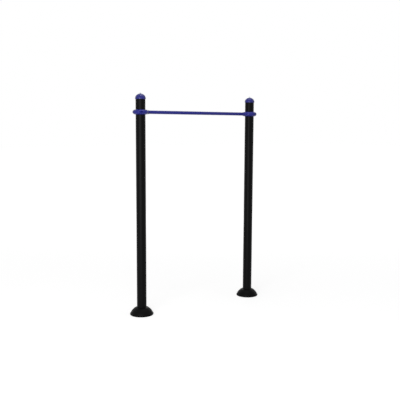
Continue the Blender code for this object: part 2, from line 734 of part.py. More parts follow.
clear_scene()
parts = new_collection("pull_up_station")
cutters = new_collection("cutters")
post_paint = material("black powder coat", POWDER_BLACK, 0.38)
bar_paint = material("blue powder coat", POWDER_BLUE, 0.35)
cap_paint = material("blue powder coat on cast aluminium", POWDER_BLUE, 0.32)
cover_black = material("black moulded cover", COVER_BLACK, 0.45)
galvanised = material("galvanised steel", ZINC, 0.5, 0.9)
bright_zinc = material("bright zinc plate on steel", ZINC, 0.35, 1.0)
black_zinc = material("black zinc plate on steel", BLACK_ZINC, 0.4, 1.0)
stainless = material("stainless steel", STAINLESS, 0.2, 1.0)

for side, sign, turn in (("left", -1, 0.0), ("right", 1, math.pi)):
    foot = frame_at(side + "_post_frame", (sign * POST_SPACING / 2, 0, 0))
    collar = frame_at(side + "_collar_frame", (sign * POST_SPACING / 2, 0, BAR_HEIGHT), turn)
    make_post(side, foot)
    make_flange(side, foot)
    make_gussets(side, foot)
    make_cover(side, foot)
    make_collar(side, collar)
    make_cap(side, foot)
make_bar()

for piece in parts.objects:
    if piece.type == "MESH":
        shade(piece)
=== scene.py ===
"""Looks of an outdoor pull-up station: powder-coated posts, bar, collars and caps, and moulded foot covers.

Metres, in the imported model's own frame: +Z up, the bar along X, the ground at z = 0, seen from the -Y side.
"""

import math

import bmesh
import bpy
import numpy as np
from mathutils import Matrix, Vector


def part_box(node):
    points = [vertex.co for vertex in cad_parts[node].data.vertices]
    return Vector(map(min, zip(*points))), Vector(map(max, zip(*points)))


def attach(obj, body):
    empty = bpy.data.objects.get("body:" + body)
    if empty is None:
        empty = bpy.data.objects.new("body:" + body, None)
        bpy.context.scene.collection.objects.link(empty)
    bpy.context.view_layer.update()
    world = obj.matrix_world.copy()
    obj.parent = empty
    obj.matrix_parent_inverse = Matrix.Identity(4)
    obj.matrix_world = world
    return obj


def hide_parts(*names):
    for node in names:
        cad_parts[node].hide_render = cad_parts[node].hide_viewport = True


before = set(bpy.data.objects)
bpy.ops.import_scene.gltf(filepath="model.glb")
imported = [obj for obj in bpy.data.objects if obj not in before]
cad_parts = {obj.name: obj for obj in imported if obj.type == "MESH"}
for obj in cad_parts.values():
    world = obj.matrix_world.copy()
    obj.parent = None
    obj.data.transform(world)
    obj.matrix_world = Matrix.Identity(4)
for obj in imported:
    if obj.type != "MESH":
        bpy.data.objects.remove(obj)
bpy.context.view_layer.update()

MM = 0.001
BODY = "root"
ALONG_X = Matrix.Rotation(math.pi / 2, 4, "Y")
SHARP_ANGLE = math.radians(32)
# Room between pieces that meet, and how far a cut runs past what it cuts
FIT_GAP = 0.3 * MM
OVERRUN = 4 * MM
# Points closer together than this are one point, and one closer to an axis lies on it
POLE = 0.001 * MM

# Camera, fitted to the edges of the posts, the bar and the covers in the photograph
CAMERA_PLACE = (-4.282, -6.433, 2.231)
CAMERA_YAW = math.radians(33.86)
CAMERA_PITCH = math.radians(6.64)
CAMERA_ROLL = math.radians(0.26)
CAMERA_LENS = 56.1
CAMERA_SENSOR = 36.0

# Studio. The lamps' light fades away from the object, so the floor is lifted more further out
FLOOR_HALF_SIZE = 60.0
LIT_REACH = 1.0
DIM_REACH = 9.0
LIT_LIFT = 0.77
DIM_LIFT = 0.91
AMBIENT = 0.2

# Each softbox's name, place, target, width, height and radiance
SOFTBOXES = (
    ("key_softbox", (-4.2, -3.9, 1.9), (0, 0, 1.6), 3.9, 3.7, 4.2),
    ("overhead_softbox", (0, -0.5, 6.0), (0, 0, 1.0), 3.0, 2.0, 2.6),
    ("back_softbox", (5.0, 7.0, 3.5), (0, 0, 1.4), 4.0, 3.0, 1.8),
)

# Smoothness of round pieces, as counts
POST_STEPS = 144
COLLAR_STEPS = 192
COVER_STEPS = 96
TONGUE_STEPS = COVER_STEPS // 8
SCREW_STEPS = 96
SMALL_STEPS = 48
WELD_SIDES = 12
SECTION_POINTS = 33
ARC_POINTS = 17
ROUND_POINTS = 5

# Post and bar
POST_WALL = 3 * MM
BAR_WALL = 3 * MM
TUBE_EDGE = 0.6 * MM

# Cap, washer and acorn nut
CAP_SKIRT_RISE = 3 * MM
CAP_SKIRT_DROP = 7 * MM
CAP_RIM_ROUND = 2 * MM
CAP_WALL = 4 * MM
CAP_SKIRT_CLEARANCE = 0.6 * MM
CAP_SPIGOT_CLEARANCE = 0.6 * MM
CAP_SPIGOT_WALL = 3 * MM
CAP_SPIGOT_LENGTH = 25 * MM
CAP_SEAT_MARGIN = 2 * MM
CAP_STUD = 10 * MM
CAP_NUT_HEX_HEIGHT = 6 * MM
CAP_NUT_SHOULDER = 0.9 * MM
CAP_NUT_BORE_SHARE = 0.6

# Collar with its clamp screws, the bar's socket and the neck round it
COLLAR_SPLIT = 1 * MM
CLAMP_HOLE_CLEARANCE = 0.5 * MM
CLAMP_HEAD_CLEARANCE = 1 * MM
CLAMP_SHANK = 10 * MM
CLAMP_HEAD_HEIGHT = 10 * MM
CLAMP_KEY = 8 * MM
CLAMP_TAP_RUNOUT = 2 * MM
BAR_BOLT_SHANK = 12 * MM
BAR_BOLT_HEAD = 18 * MM
BAR_SOCKET_WEB = 9 * MM
NECK_WALL = 2.5 * MM
NECK_ROOT_WALL = 4 * MM
NECK_FLARE = 4 * MM
NECK_FLARE_POWER = 2.5

# Foot cover with its lap tongues and screws
COVER_WALL = 3 * MM
COVER_LIP_HEIGHT = 15 * MM
COVER_LIP_STEP = 5.5 * MM
COVER_LIP_ROUND = 2 * MM
COVER_FOOT_ROUND = 6 * MM
COVER_FOOT_LAND = 3 * MM
COVER_FLANK_BULGE = 5 * MM
COVER_SHOULDER_BULGE = 3.5 * MM
COVER_SHOULDER_WIDTH = 39 * MM
COVER_SHOULDER_DROP = 18 * MM
COVER_NECK_CLEARANCE = 0.5 * MM
COVER_NECK_LAND = 5 * MM
COVER_SEAM_GAP = 0.3 * MM
WALL_TOLERANCE = 0.01 * MM
TONGUE_THICKNESS = 3 * MM
TONGUE_CLEARANCE = 0.8 * MM
TONGUE_REACH = 16 * MM
TONGUE_ROOT = 10 * MM
TONGUE_FLANK_SHARES = (0.22, 0.78)
COVER_DRILL_DEPTH = 16 * MM
COVER_SCREW_HOLE_CLEARANCE = 0.5 * MM
COVER_SCREW_HEAD_HEIGHT = 2.5 * MM
COVER_SCREW_KEY = 3 * MM

# Screws: the knurl, and the share of a screw's radius past which a point belongs to its head
KNURL_DEPTH = 0.25 * MM
SCREW_HEAD_SHARE = 0.9

# Base flange, and the weld round the post on it
FLANGE_EDGE = 1.5 * MM
FLANGE_DRAIN_RADIUS = 25 * MM
ANCHOR_HOLES = 4
ANCHOR_HOLE_RADIUS = 9 * MM
ANCHOR_RIM_DISTANCE = 25 * MM
WELD_RADIUS = 4.5 * MM
WELD_STAND_OFF = 1 * MM
WELD_POOL = 6 * MM
WELD_POOL_RINGS = 4
WELD_POOL_SHARE = 0.12

# Sizes of the surfaces' patterns, and how deep they are
CLOUD_SIZE = 90 * MM
POST_PEEL = 4 * MM
POST_PEEL_DEPTH = 0.2 * MM
BAR_PEEL = 3 * MM
BAR_PEEL_DEPTH = 0.08 * MM
CAST_PEEL = 5 * MM
CAST_PEEL_DEPTH = 0.25 * MM
MOULD_GRAIN = 1.5 * MM
MOULD_GRAIN_DEPTH = 0.1 * MM
SPANGLE_SIZE = 12 * MM
SPANGLE_DEPTH = 0.05 * MM
PLATE_PATCH = 4 * MM
LATHE_PITCH = 0.6 * MM
LATHE_DEPTH = 0.01 * MM
SHEEN_SWING = 0.04


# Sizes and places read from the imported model, at the left post


def extent(node):
    """Lowest corner, highest corner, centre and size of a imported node."""
    low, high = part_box(node)
    return low, high, (low + high) / 2, high - low


post_low, post_high, post_centre, post_size = extent("left_post_tube")
post_radius = post_size.y / 2
bar_low, bar_high, bar_centre, bar_size = extent("pull_up_bar")
bar_radius = bar_size.y / 2
washer_low, _, _, washer_size = extent("left_cap_washer")
washer_radius = washer_size.x / 2
nut_low, _, _, nut_size = extent("left_cap_nut")
clamp_low, clamp_high, clamp_centre, _ = extent("left_collar_front_clamp_screw")
clamp_y = post_centre.y - clamp_centre.y
clamp_head_radius = (clamp_high.z - clamp_low.z) / 2
clamp_seat_depth = post_centre.x - clamp_low.x - CLAMP_HEAD_HEIGHT - FIT_GAP
_, flange_high, _, flange_size = extent("left_base_flange")


def screw_place(node):
    """Where a packed screw's head seat is and which way its axis points, out of its head."""
    points = np.array([vert.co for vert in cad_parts[node].data.vertices])
    centre = points.mean(0)
    values, vectors = np.linalg.eigh(np.cov((points - centre).T))
    # The axis is the direction whose spread is unlike the other two
    axis = vectors[:, 2 if values[2] - values[1] > values[1] - values[0] else 0]
    along = (points - centre) @ axis
    across = np.linalg.norm((points - centre) - np.outer(along, axis), axis=1)
    head = across > SCREW_HEAD_SHARE * across.max()
    if along[head].mean() < 0:
        axis, along = -axis, -along
    place = Vector(centre + along[head].min() * axis)
    return Matrix.Translation(place) @ Vector(axis).to_track_quat("Z", "X").to_matrix().to_4x4()


cover_neck_radius = post_radius + COVER_NECK_CLEARANCE
to_cover_screw = screw_place("left_cover_left_screw").inverted()
cover_screw_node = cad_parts["left_cover_left_screw"]
cover_screw_points = [to_cover_screw @ vert.co for vert in cover_screw_node.data.vertices]
cover_screw_head_radius = max(point.xy.length for point in cover_screw_points)
cover_screw_shank_radius = min(point.xy.length for point in cover_screw_points if point.z < -FIT_GAP)
cover_screw_length = -min(point.z for point in cover_screw_points)


# Mesh code


def turned(profile, steps, loop=False, start=0.0, sweep=None):
    """A profile of (radius, height) points turned about Z: a loop makes a ring, a sweep a part turn."""
    shape = bmesh.new()
    count = steps + 1 if sweep else steps
    angles = [start + (sweep or math.tau) * i / steps for i in range(count)]
    rings = []
    for radius, height in profile:
        if radius < POLE:
            rings.append([shape.verts.new((0, 0, height))] * count)
        else:
            ring = [(radius * math.cos(a), radius * math.sin(a), height) for a in angles]
            rings.append([shape.verts.new(point) for point in ring])
    for upper, lower in zip(rings, rings[1:] + rings[:1] if loop else rings[1:]):
        for i in range(steps):
            j = (i + 1) % count
            corners = list(dict.fromkeys((upper[i], upper[j], lower[j], lower[i])))
            if len(corners) > 2:
                shape.faces.new(corners)
    if sweep:
        shape.faces.new([ring[0] for ring in rings])
        shape.faces.new([ring[-1] for ring in reversed(rings)])
    bmesh.ops.recalc_face_normals(shape, faces=shape.faces)
    return shape


def skinned(sections, closed=False):
    """A skin through rings of points, closed on itself or with flat ends."""
    shape = bmesh.new()
    rings = [[shape.verts.new(point) for point in section] for section in sections]
    for ring, after in zip(rings, rings[1:] + rings[:1] if closed else rings[1:]):
        for i in range(len(ring)):
            j = (i + 1) % len(ring)
            shape.faces.new((ring[i], ring[j], after[j], after[i]))
    if not closed:
        shape.faces.new(rings[0])
        shape.faces.new(rings[-1])
    bmesh.ops.recalc_face_normals(shape, faces=shape.faces)
    return shape


def prism(sides, across_flats, bottom, top):
    """A regular prism about Z, with an even number of sides and a flat facing each way along Y."""
    corner = across_flats / 2 / math.cos(math.pi / sides)
    turns = [math.tau * (i + 0.5) / sides + math.pi / 2 for i in range(sides)]
    return skinned([[(corner * math.cos(t), corner * math.sin(t), z) for t in turns] for z in (bottom, top)])


def arc(centre, across, up, start, end, count):
    """Points of an elliptical arc about centre."""
    turns = [start + (end - start) * i / (count - 1) for i in range(count)]
    return [Vector((centre[0] + across * math.cos(t), centre[1] + up * math.sin(t))) for t in turns]


def rounded(centre, radius, start, end):
    """Points of a small round edge about centre."""
    return arc(centre, radius, radius, start, end, ROUND_POINTS)


def bowed(start, end, bulge, count):
    """Points of a circular arc from start to end that stands proud of its chord on its left side."""
    chord = end - start
    along = chord.normalized()
    left = Vector((-along.y, along.x))
    half = chord.length / 2
    radius = (half ** 2 + bulge ** 2) / (2 * bulge)
    centre = (start + end) / 2 - left * (radius - bulge)
    half_angle = math.asin(half / radius)
    turns = [half_angle - 2 * half_angle * i / (count - 1) for i in range(count)]
    return [centre + radius * (math.cos(t) * left - math.sin(t) * along) for t in turns]


def inward(profile, distance):
    """An open profile that runs down its outer side, moved inward by a distance."""
    moved = []
    for i, point in enumerate(profile):
        along = (profile[min(i + 1, len(profile) - 1)] - profile[max(i - 1, 0)]).normalized()
        moved.append(point + distance * Vector((along.y, -along.x)))
    return moved


def stretch(points, shares):
    """The part of an evenly spaced polyline between two shares of it."""
    first, last = (round(share * (len(points) - 1)) for share in shares)
    return points[first:last + 1]


def mesh_of(name, shape, finish=None):
    """A mesh from a bmesh: smooth, except where its faces meet at more than the sharp angle."""
    mesh = bpy.data.meshes.new(name)
    shape.to_mesh(mesh)
    shape.free()
    if finish:
        mesh.materials.append(finish)
    mesh.shade_smooth()
    mesh.set_sharp_from_angle(angle=SHARP_ANGLE)
    return mesh


def linked(name, data, place):
    """An object in the scene that holds a mesh, a lamp or a camera, at a place."""
    made = bpy.data.objects.new(name, data)
    bpy.context.scene.collection.objects.link(made)
    made.matrix_world = place
    return made


def carved(name, shape, tools, finish):
    """A mesh after cuts, joins and overlaps with tools, which are (operation, bmesh, place)."""
    body = linked(name, mesh_of(name, shape), Matrix())
    made = [body]
    for operation, tool_shape, place in tools:
        tool = linked(name + "_tool", mesh_of(name + "_tool", tool_shape), place)
        step = body.modifiers.new(operation, "BOOLEAN")
        step.operation = operation
        step.object = tool
        step.solver = "EXACT"
        made.append(tool)
    bpy.context.view_layer.update()
    graph = bpy.context.evaluated_depsgraph_get()
    shape = bmesh.new()
    shape.from_mesh(body.evaluated_get(graph).data)
    bmesh.ops.dissolve_degenerate(shape, edges=shape.edges, dist=POLE)
    for obj in made:
        mesh = obj.data
        bpy.data.objects.remove(obj)
        bpy.data.meshes.remove(mesh)
    return mesh_of(name, shape, finish)


def fit(name, mesh, place, node):
    """Puts a finished piece at its place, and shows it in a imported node's stead where there is one."""
    piece = linked(name, mesh, place)
    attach(piece, BODY)
    if node:
        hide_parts(node)


# Materials


def linear(hex_colour):
    """sRGB hex to linear RGBA."""
    values = [int(hex_colour[i:i + 2], 16) / 255 for i in (0, 2, 4)]
    return [v / 12.92 if v <= 0.04045 else ((v + 0.055) / 1.055) ** 2.4 for v in values] + [1.0]


def add(tree, kind, settings=None, links=None):
    """Adds a shader node with its settings, by property or input name, and the links into it."""
    node = tree.nodes.new("ShaderNode" + kind)
    for name, value in (settings or {}).items():
        if hasattr(node, str(name)):
            setattr(node, name, value)
        else:
            node.inputs[name].default_value = value
    for name, socket in (links or {}).items():
        tree.links.new(socket, node.inputs[name])
    return node


def new_material(name):
    """A material and its node tree, which holds the shader."""
    made = bpy.data.materials.new(name)
    made.use_nodes = True
    return made, made.node_tree


def dress(tree, colour, sheen, bump=None, metallic=0.0, specular=0.5):
    """Links a finish's colour, roughness and bump to the shader, and sets its even values there."""
    shader = tree.nodes["Principled BSDF"]
    tree.links.new(colour.outputs["Color"], shader.inputs["Base Color"])
    tree.links.new(sheen.outputs["Result"], shader.inputs["Roughness"])
    if bump:
        tree.links.new(bump.outputs["Normal"], shader.inputs["Normal"])
    shader.inputs["Metallic"].default_value = metallic
    shader.inputs["Specular IOR Level"].default_value = specular


def powder_coat(name, deep, pale, roughness, specular, peel, peel_depth):
    """A baked powder skin: even colour, soft sheen, and an orange peel of the given ripple size and depth.

    Real peel is 2 mm across and finer. It is drawn coarser here, so that it shows.
    """
    made, tree = new_material(name)
    place = add(tree, "TexCoord").outputs["Object"]
    cloud = add(tree, "TexNoise", {"Scale": 1 / CLOUD_SIZE, "Detail": 2.0}, {"Vector": place}).outputs["Fac"]
    ripple = add(tree, "TexNoise", {"Scale": 1 / peel, "Detail": 1.0, "Roughness": 0.4}, {"Vector": place})
    colour = add(tree, "MixRGB", {"Color1": linear(deep), "Color2": linear(pale)}, {"Fac": cloud})
    sheen = add(tree, "MapRange", {"To Min": roughness - SHEEN_SWING, "To Max": roughness + SHEEN_SWING},
                {"Value": cloud})
    bump = add(tree, "Bump", {"Strength": 1.0, "Distance": peel_depth}, {"Height": ripple.outputs["Fac"]})
    dress(tree, colour, sheen, bump, specular=specular)
    return made


def black_powder_coat_on_steel():
    """Satin black on the drawn tube of the posts, with a shallow gloss that only the lamps bring out."""
    return powder_coat("black_powder_coat_on_steel", "060607", "090909", 0.40, 0.07, POST_PEEL,
                       POST_PEEL_DEPTH)


def blue_powder_coat_on_steel():
    """Ultramarine blue on the drawn tube of the bar, with a finer peel than the posts'."""
    return powder_coat("blue_powder_coat_on_steel", "2A2D8A", "2F3292", 0.32, 0.20, BAR_PEEL, BAR_PEEL_DEPTH)


def blue_powder_coat_on_cast_aluminium():
    """The same blue on sand-cast collars, whose pebbled skin shows through the coat as a coarser ripple."""
    return powder_coat("blue_powder_coat_on_cast_aluminium", "2A2D8A", "2F3292", 0.30, 0.20, CAST_PEEL,
                       CAST_PEEL_DEPTH)


def glossy_blue_powder_coat_on_cast_caps():
    """The caps' coat, a shade deeper and glossier than the collars': light from overhead shows on top."""
    return powder_coat("glossy_blue_powder_coat_on_cast_caps", "24277F", "282B85", 0.24, 0.32, CAST_PEEL,
                       CAST_PEEL_DEPTH)


def black_moulded_abs():
    """Black ABS from a spark-eroded mould, with a satin grain drawn a little coarser than the real one."""
    made, tree = new_material("black_moulded_abs")
    place = add(tree, "TexCoord").outputs["Object"]
    grain = add(tree, "TexNoise", {"Scale": 1 / MOULD_GRAIN, "Detail": 3.0}, {"Vector": place}).outputs["Fac"]
    cloud = add(tree, "TexNoise", {"Scale": 1 / CLOUD_SIZE, "Detail": 2.0}, {"Vector": place}).outputs["Fac"]
    colour = add(tree, "MixRGB", {"Color1": linear("09090A"), "Color2": linear("0D0D0E")}, {"Fac": cloud})
    sheen = add(tree, "MapRange", {"To Min": 0.40, "To Max": 0.52}, {"Value": grain})
    bump = add(tree, "Bump", {"Strength": 1.0, "Distance": MOULD_GRAIN_DEPTH}, {"Height": grain})
    dress(tree, colour, sheen, bump, specular=0.05)
    return made


def hot_dip_galvanised_steel():
    """Zinc from the dipping bath: dull grey, with crystals that each catch the light a little apart."""
    made, tree = new_material("hot_dip_galvanised_steel")
    place = add(tree, "TexCoord").outputs["Object"]
    crystal = add(tree, "TexVoronoi", {"Scale": 1 / SPANGLE_SIZE, "Randomness": 1.0}, {"Vector": place})
    tone = add(tree, "SeparateColor", links={"Color": crystal.outputs["Color"]}).outputs["Red"]
    colour = add(tree, "MixRGB", {"Color1": linear("8E9396"), "Color2": linear("B2B6B9")}, {"Fac": tone})
    sheen = add(tree, "MapRange", {"To Min": 0.38, "To Max": 0.58}, {"Value": tone})
    bump = add(tree, "Bump", {"Strength": 0.6, "Distance": SPANGLE_DEPTH},
               {"Height": crystal.outputs["Distance"]})
    dress(tree, colour, sheen, bump, metallic=0.95)
    return made


def zinc_plate(name, dull, bright, smoothest, roughest):
    """Electroplated zinc, with the uneven patches of a barrel finish."""
    made, tree = new_material(name)
    place = add(tree, "TexCoord").outputs["Object"]
    patch = add(tree, "TexNoise", {"Scale": 1 / PLATE_PATCH, "Detail": 4.0}, {"Vector": place}).outputs["Fac"]
    colour = add(tree, "MixRGB", {"Color1": linear(dull), "Color2": linear(bright)}, {"Fac": patch})
    sheen = add(tree, "MapRange", {"To Min": smoothest, "To Max": roughest}, {"Value": patch})
    dress(tree, colour, sheen, metallic=1.0)
    return made


def bright_zinc_plate():
    """Clear zinc on the bar bolts and the cap studs: bright and faintly blue."""
    return zinc_plate("bright_zinc_plate", "A6ACB4", "C2C7CD", 0.24, 0.42)


def black_zinc_plate():
    """Zinc with a black passivation on the covers' and collars' screws: a dark metal with a dull sheen."""
    return zinc_plate("black_zinc_plate", "17181A", "222427", 0.36, 0.52)


def turned_stainless_steel():
    """Stainless steel turned on a lathe: fine rings round the axis, drawn further apart so that they show."""
    made, tree = new_material("turned_stainless_steel")
    place = add(tree, "TexCoord").outputs["Object"]
    rings = add(tree, "TexWave", {"wave_type": "RINGS", "rings_direction": "Z", "Scale": 1 / LATHE_PITCH,
                                  "Distortion": 0.6}, {"Vector": place}).outputs["Fac"]
    colour = add(tree, "MixRGB", {"Color1": linear("BCC0C6"), "Color2": linear("D2D5DA")}, {"Fac": rings})
    sheen = add(tree, "MapRange", {"To Min": 0.16, "To Max": 0.26}, {"Value": rings})
    bump = add(tree, "Bump", {"Strength": 0.3, "Distance": LATHE_DEPTH}, {"Height": rings})
    dress(tree, colour, sheen, bump, metallic=1.0)
    return made


post_black = black_powder_coat_on_steel()
bar_blue = blue_powder_coat_on_steel()
cast_blue = blue_powder_coat_on_cast_aluminium()
cap_blue = glossy_blue_powder_coat_on_cast_caps()
cover_black = black_moulded_abs()
galvanised = hot_dip_galvanised_steel()
bright_zinc = bright_zinc_plate()
black_zinc = black_zinc_plate()
stainless = turned_stainless_steel()

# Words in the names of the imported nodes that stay, and their finish
KEPT_NODES = {
    "gusset": galvanised,
    "bridge": galvanised,
    "plug": galvanised,
    "bolt": bright_zinc,
    "stud": bright_zinc,
}


# Posts, bar, caps, washers and nuts, each made about its own axis, which lies along Z


def tube(name, radius, wall, low, high, finish):
    """A cut length of tube about Z with its edges broken."""
    inner = radius - wall
    section = [
        (radius - TUBE_EDGE, high),
        (radius, high - TUBE_EDGE),
        (radius, low + TUBE_EDGE),
        (radius - TUBE_EDGE, low),
        (inner + TUBE_EDGE, low),
        (inner, low + TUBE_EDGE),
        (inner, high - TUBE_EDGE),
        (inner + TUBE_EDGE, high),
    ]
    return mesh_of(name, turned(section, POST_STEPS, loop=True), finish)


def cap_mesh():
    """The cast dome: nut seat, dome, skirt over the post, ledge on its rim and spigot inside it."""
    _, cap_high, _, cap_size = extent("left_post_cap")
    radius = cap_size.y / 2
    seat = cap_high.z
    skirt_foot = post_high.z - CAP_SKIRT_DROP
    spring = post_high.z + CAP_SKIRT_RISE
    seat_angle = math.acos((washer_radius + CAP_SEAT_MARGIN) / radius)
    dome_height = (seat - spring) / math.sin(seat_angle)
    hole = CAP_STUD / 2 + FIT_GAP
    spigot = post_radius - POST_WALL - CAP_SPIGOT_CLEARANCE
    bore = spigot - CAP_SPIGOT_WALL
    spigot_foot = post_high.z - CAP_SPIGOT_LENGTH
    skirt = post_radius + CAP_SKIRT_CLEARANCE
    ledge = post_high.z + FIT_GAP
    section = [Vector((hole, seat))]
    section += arc((0, spring), radius, dome_height, seat_angle, 0, SECTION_POINTS)
    section += rounded((radius - CAP_RIM_ROUND, skirt_foot + CAP_RIM_ROUND), CAP_RIM_ROUND, 0, -math.pi / 2)
    section += [
        Vector((skirt, skirt_foot)),
        Vector((skirt, ledge)),
        Vector((spigot, ledge)),
        Vector((spigot, spigot_foot)),
        Vector((bore, spigot_foot)),
    ]
    section += arc((0, spring), bore, seat - CAP_WALL - spring, 0, math.acos(hole / bore), ARC_POINTS)
    return mesh_of("post_cap", turned(section, POST_STEPS, loop=True), cap_blue)


def washer_mesh():
    """The stamped washer on the cap, with its edges rolled."""
    bore = CAP_STUD / 2 + FIT_GAP
    thickness = washer_size.z
    edge = thickness / 4
    section = rounded((washer_radius - edge, thickness - edge), edge, math.pi / 2, 0)
    section += rounded((washer_radius - edge, edge), edge, 0, -math.pi / 2)
    section += [Vector((bore, 0)), Vector((bore, thickness))]
    return mesh_of("cap_washer", turned(section, SMALL_STEPS, loop=True), stainless)


def chamfer_blank(width, high):
    """A turned blank that takes the corners off a hexagon as a lathe does, at 30 degrees."""
    corner = width / 2 / math.cos(math.pi / 6)
    drop = (corner - width / 2) * math.tan(math.pi / 6)
    profile = [(0, high), (width / 2, high), (corner, high - drop), (corner, drop), (width / 2, 0), (0, 0)]
    return turned(profile, POST_STEPS)


def acorn_nut_mesh():
    """The closed nut on the cap: a chamfered hexagon under a dome, with a blind bore."""
    width = nut_size.y
    radius = width / 2 - CAP_NUT_SHOULDER
    rise = nut_size.z - CAP_NUT_HEX_HEIGHT
    dome = arc((0, CAP_NUT_HEX_HEIGHT), radius, rise, math.pi / 2, 0, ARC_POINTS)
    dome[0].x = 0
    middle = CAP_NUT_HEX_HEIGHT / 2
    dome += [Vector((radius, middle)), Vector((0, middle))]
    bore_top = CAP_NUT_HEX_HEIGHT + CAP_NUT_BORE_SHARE * rise
    bore = CAP_STUD / 2 + FIT_GAP
    drill = [(0, bore_top), (bore, bore_top), (bore, -OVERRUN), (0, -OVERRUN)]
    return carved("acorn_nut", prism(6, width, 0, CAP_NUT_HEX_HEIGHT), [
        ("INTERSECT", chamfer_blank(width, CAP_NUT_HEX_HEIGHT), Matrix()),
        ("UNION", turned(dome, SMALL_STEPS), Matrix()),
        ("DIFFERENCE", turned(drill, SMALL_STEPS), Matrix()),
    ], stainless)


# Collar halves, made about the post's axis with the bar along +X, and socket screws


def ring_blank(bore, radius, height):
    """The full collar ring: a straight bore with a bullnose outer face, half an ellipse in section."""
    side = arc((bore, 0), radius - bore, height / 2, math.pi / 2, -math.pi / 2, SECTION_POINTS)
    return turned(side, COLLAR_STEPS, loop=True)


def slab(low_x, high_x, reach):
    """A block that takes away one half of a collar."""
    corners = [(-reach, -reach), (reach, -reach), (reach, reach), (-reach, reach)]
    return skinned([[(x, y, z) for y, z in corners] for x in (low_x, high_x)])


def neck_blank(floor, ring_radius, end):
    """The tapered neck round the bar's socket, flared into the ring at its sides as a casting's fillet is."""
    sections = []
    for i in range(SECTION_POINTS):
        x = floor + (end - floor) * (i / (SECTION_POINTS - 1))
        taper = min(1.0, max(0.0, (x - ring_radius) / (end - ring_radius)))
        radius = bar_radius + NECK_ROOT_WALL + (NECK_WALL - NECK_ROOT_WALL) * taper
        nearness = max(0.0, 1 - max(0.0, x - ring_radius + NECK_FLARE) / (2 * NECK_FLARE))
        wide = radius + NECK_FLARE * nearness ** NECK_FLARE_POWER
        turns = [math.tau * k / SMALL_STEPS for k in range(SMALL_STEPS)]
        sections.append([(x, wide * math.cos(t), radius * math.sin(t)) for t in turns])
    # The end's edge is broken as a tube's is
    lip_share = 1 - TUBE_EDGE / (bar_radius + NECK_WALL)
    lip = [(end, y * lip_share, z * lip_share) for _, y, z in sections[-1]]
    sections[-1] = [(x - TUBE_EDGE, y, z) for x, y, z in sections[-1]]
    return skinned(sections + [lip])


def collar_meshes():
    """The two clamp halves, with the screws' counterbores and tapped holes and the bar's socket cut in."""
    _, _, _, ring_size = extent("left_collar_outer_half")
    _, neck_high, _, _ = extent("left_collar_inner_half")
    bore = post_radius + FIT_GAP
    radius = ring_size.y / 2
    neck_end = neck_high.x - post_centre.x
    reach = neck_end + OVERRUN
    socket_floor = bar_low.x - post_centre.x - FIT_GAP
    bolt_seat = socket_floor - BAR_SOCKET_WEB
    clamp_hole = CLAMP_SHANK / 2 + CLAMP_HOLE_CLEARANCE
    head_hole = clamp_head_radius + CLAMP_HEAD_CLEARANCE
    counterbore = [
        (0, reach),
        (clamp_hole, reach),
        (clamp_hole, -clamp_seat_depth),
        (head_hole, -clamp_seat_depth),
        (head_hole, -reach),
        (0, -reach),
    ]
    # The tapped hole is blind and ends in a drill's cone
    tap_depth = clamp_high.x - post_centre.x + CLAMP_TAP_RUNOUT
    tap_radius = CLAMP_SHANK / 2 + FIT_GAP
    tap = [(0, tap_depth + tap_radius / 2), (tap_radius, tap_depth), (tap_radius, -OVERRUN), (0, -OVERRUN)]
    socket = [
        (0, reach),
        (bar_radius + FIT_GAP, reach),
        (bar_radius + FIT_GAP, socket_floor),
        (BAR_BOLT_SHANK / 2 + FIT_GAP, socket_floor),
        (BAR_BOLT_SHANK / 2 + FIT_GAP, bolt_seat),
        (BAR_BOLT_HEAD / 2 + CLAMP_HEAD_CLEARANCE, bolt_seat),
        (BAR_BOLT_HEAD / 2 + CLAMP_HEAD_CLEARANCE, bore - OVERRUN),
        (0, bore - OVERRUN),
    ]

    def at_screws(profile):
        """Drills of a profile at both clamp screws."""
        return [("DIFFERENCE", turned(profile, SMALL_STEPS), Matrix.Translation((0, y, 0)) @ ALONG_X)
                for y in (-clamp_y, clamp_y)]

    outer = carved("collar_outer_half", ring_blank(bore, radius, ring_size.z), [
        ("DIFFERENCE", slab(-COLLAR_SPLIT / 2, reach, reach), Matrix()),
        *at_screws(counterbore),
    ], cast_blue)
    inner = carved("collar_inner_half", ring_blank(bore, radius, ring_size.z), [
        ("DIFFERENCE", slab(-reach, COLLAR_SPLIT / 2, reach), Matrix()),
        ("UNION", neck_blank(socket_floor, radius, neck_end), Matrix()),
        *at_screws(tap),
        ("DIFFERENCE", turned(socket, POST_STEPS), ALONG_X),
    ], cast_blue)
    return outer, inner


def socket_screw_mesh(name, head_radius, head_height, shank_radius, length, key):
    """A socket-head screw along Z, its head up from z = 0: chamfered, knurled, with a hexagon key socket."""
    edge = head_height / 10
    tip = shank_radius / 4
    shape = turned([
        (0, head_height),
        (head_radius - edge, head_height),
        (head_radius, head_height - edge),
        (head_radius, edge / 2),
        (head_radius - edge / 2, 0),
        (shank_radius, 0),
        (shank_radius, tip - length),
        (shank_radius - tip, -length),
        (0, -length),
    ], SCREW_STEPS)
    # Every second line of the head's side is pressed in, which is its knurl
    for vert in shape.verts:
        line = round(math.atan2(vert.co.y, vert.co.x) / math.tau * SCREW_STEPS)
        if vert.co.xy.length > head_radius - edge / 4 and line % 2:
            vert.co.x *= 1 - KNURL_DEPTH / head_radius
            vert.co.y *= 1 - KNURL_DEPTH / head_radius
    key_socket = prism(6, key, head_height / 2, head_height + OVERRUN)
    return carved(name, shape, [("DIFFERENCE", key_socket, Matrix())], black_zinc)


# Foot cover, made about the post's axis


